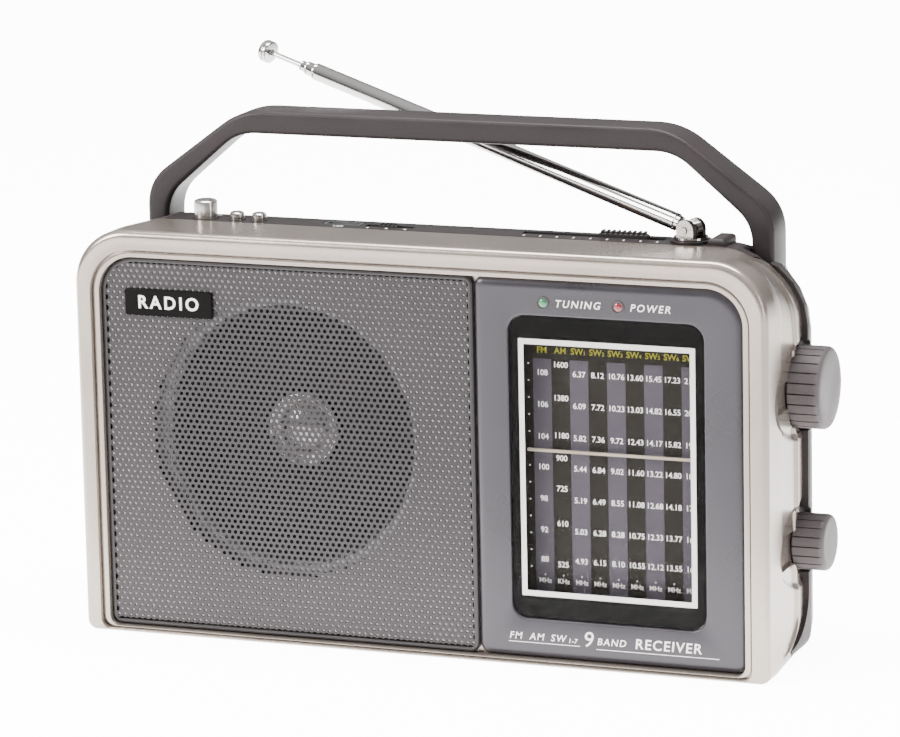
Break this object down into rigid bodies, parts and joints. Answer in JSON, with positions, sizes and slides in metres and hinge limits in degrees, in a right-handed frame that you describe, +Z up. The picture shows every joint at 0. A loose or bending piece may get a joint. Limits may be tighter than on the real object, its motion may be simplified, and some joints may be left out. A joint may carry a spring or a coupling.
{
  "type": "shortwave receiver",
  "caption": "Portable multi-band radio receiver with perforated speaker grille, sliding-pointer dial, side knobs, carrying handle and telescopic antenna.",
  "frame": {"origin": "middle of the flat base, under the middle of the cabinet", "axes": "+X to the right seen from the front, +Y to the back, +Z up"},
  "size_m": [0.2645, 0.096, 0.2007],
  "materials": {
    "silver_moulding": "silver painted ABS, satin",
    "dark_moulding": "textured dark brown-grey ABS",
    "grille_metal": "perforated sheet, satin",
    "badge": "glossy black, blank",
    "dial_moulding": "fine satin grain",
    "window": "clear acrylic with a printed border",
    "scale_print": "printed card-like plate",
    "pointer": "moulded, satin",
    "green_lamp": "tinted epoxy",
    "red_lamp": "tinted epoxy",
    "top_moulding": "satin",
    "switch_plastic": "satin",
    "button_metal": "plated, satin",
    "knob_plastic": "satin grey",
    "steel": "zinc plated",
    "spring_wire": "nickel plated wire",
    "brass": "turned",
    "cone_paper": "pressed paper, black",
    "dust_cap": "shiny metallised dome",
    "ferrite": "sintered ferrite",
    "copper": "enamelled copper wire",
    "board": "phenolic paper board",
    "light_plastic": "natural moulded",
    "cell": "plain label",
    "black_plastic": "satin",
    "transformer": "varnished laminations",
    "antenna_chrome": "bright chrome plate",
    "antenna_seat": "black"
  },
  "bodies": {
    "cabinet": {"front_cabinet": "silver_moulding", "rear_cabinet": "dark_moulding", "speaker_grille": "grille_metal", "badge_plate": "badge", "dial_panel": "dial_moulding", "dial_window": "window", "dial_scale": "scale_print", "tuning_lamp": "green_lamp", "power_lamp": "red_lamp", "top_panel": "top_moulding", "case_screw_1": "steel", "case_screw_2": "steel", "case_screw_3": "steel", "case_screw_4": "steel", "speaker_basket": "steel", "speaker_screw_1": "steel", "speaker_screw_2": "steel", "volume_control": "steel", "pointer_rail": "steel", "battery_contact": "steel", "usb_socket": "steel", "handle_pin_left": "steel", "handle_pin_right": "steel", "battery_spring": "spring_wire", "tuning_bushing": "brass", "speaker_cone": "cone_paper", "speaker_dust_cap": "dust_cap", "ferrite_rod": "ferrite", "speaker_magnet": "ferrite", "ferrite_coil": "copper", "circuit_board": "board", "control_board": "board", "tuning_capacitor": "light_plastic", "battery_cell_1": "cell", "battery_cell_2": "cell", "battery_cell_3": "cell", "battery_cell_4": "cell", "mains_inlet": "black_plastic", "earphone_jack": "black_plastic", "power_transformer": "transformer", "antenna_seat": "antenna_seat"},
    "handle": {"handle": "dark_moulding"},
    "antenna_turret": {"antenna_knuckle": "antenna_chrome", "antenna_hinge_pin": "antenna_chrome"},
    "antenna_mast": {"antenna_section_1": "antenna_chrome"},
    "antenna_second": {"antenna_section_2": "antenna_chrome"},
    "antenna_third": {"antenna_section_3": "antenna_chrome"},
    "antenna_rod": {"antenna_section_4": "antenna_chrome"},
    "tuning": {"tuning_knob": "knob_plastic", "tuning_shaft": "steel"},
    "drum": {"drive_drum": "light_plastic"},
    "pointer": {"dial_pointer": "pointer"},
    "volume": {"volume_knob": "knob_plastic", "volume_shaft": "steel"},
    "power_key": {"power_button": "button_metal"},
    "small_key_1": {"small_button_1": "button_metal"},
    "small_key_2": {"small_button_2": "button_metal"},
    "function_slider": {"function_switch": "switch_plastic"},
    "band_slider": {"band_switch": "switch_plastic"},
    "battery_cover": {"battery_door": "dark_moulding"}
  },
  "joints": [
    {"name": "handle_tilt", "type": "hinge", "parent": "cabinet", "child": "handle", "pos_m": [0, 0.0135, 0.1333], "axis": [-1, 0, 0], "range_deg": [-25, 0]},
    {"name": "antenna_swivel", "type": "hinge", "parent": "cabinet", "child": "antenna_turret", "pos_m": [0.0908, -0.003, 0.1504], "axis": [0, 0, 1], "range_deg": [-80, 0]},
    {"name": "antenna_tilt", "type": "hinge", "parent": "antenna_turret", "child": "antenna_mast", "pos_m": [0.0908, -0.003, 0.1504], "axis": [0.309, 0.9511, 0], "range_deg": [-6, 1]},
    {"name": "antenna_slide_2", "type": "slide", "parent": "antenna_mast", "child": "antenna_second", "axis": [-0.9248, 0.3005, 0.2334], "range_m": [0, 0.14]},
    {"name": "antenna_slide_3", "type": "slide", "parent": "antenna_second", "child": "antenna_third", "axis": [-0.9248, 0.3005, 0.2334], "range_m": [0, 0.14]},
    {"name": "antenna_slide_4", "type": "slide", "parent": "antenna_third", "child": "antenna_rod", "axis": [-0.9248, 0.3005, 0.2334], "range_m": [0, 0.14]},
    {"name": "tuning_turn", "type": "hinge", "parent": "cabinet", "child": "tuning", "pos_m": [0.13, 0.009, 0.095], "axis": [1, 0, 0], "range_deg": [-450, 450]},
    {"name": "drum_turn", "type": "hinge", "parent": "cabinet", "child": "drum", "pos_m": [0.066, -0.01, 0.066], "axis": [0, -1, 0], "range_deg": [-92, 92]},
    {"name": "pointer_slide", "type": "slide", "parent": "cabinet", "child": "pointer", "axis": [0, 0, 1], "range_m": [-0.042, 0.042]},
    {"name": "volume_turn", "type": "hinge", "parent": "cabinet", "child": "volume", "pos_m": [0.13, 0.009, 0.0403], "axis": [1, 0, 0], "range_deg": [-150, 150]},
    {"name": "power_press", "type": "slide", "parent": "cabinet", "child": "power_key", "axis": [0, 0, -1], "range_m": [0, 0.0025], "stiffness_N_per_m": 600, "springref_m": -0.0005},
    {"name": "small_press_1", "type": "slide", "parent": "cabinet", "child": "small_key_1", "axis": [0, 0, -1], "range_m": [0, 0.001], "stiffness_N_per_m": 600, "springref_m": -0.0003},
    {"name": "small_press_2", "type": "slide", "parent": "cabinet", "child": "small_key_2", "axis": [0, 0, -1], "range_m": [0, 0.001], "stiffness_N_per_m": 600, "springref_m": -0.0003},
    {"name": "function_slide", "type": "slide", "parent": "cabinet", "child": "function_slider", "axis": [1, 0, 0], "range_m": [-0.004, 0.005]},
    {"name": "band_slide", "type": "slide", "parent": "cabinet", "child": "band_slider", "axis": [1, 0, 0], "range_m": [-0.027, 0.005]},
    {"name": "battery_door_open", "type": "hinge", "parent": "cabinet", "child": "battery_cover", "pos_m": [0, 0.0355, 0.007], "axis": [-1, 0, 0], "range_deg": [0, 80]}
  ],
  "couplings": [
    {"joint": "drum_turn", "follows": "tuning_turn", "ratio": 0.2},
    {"joint": "pointer_slide", "follows": "tuning_turn", "m_per_rad": 0.005}
  ]
}
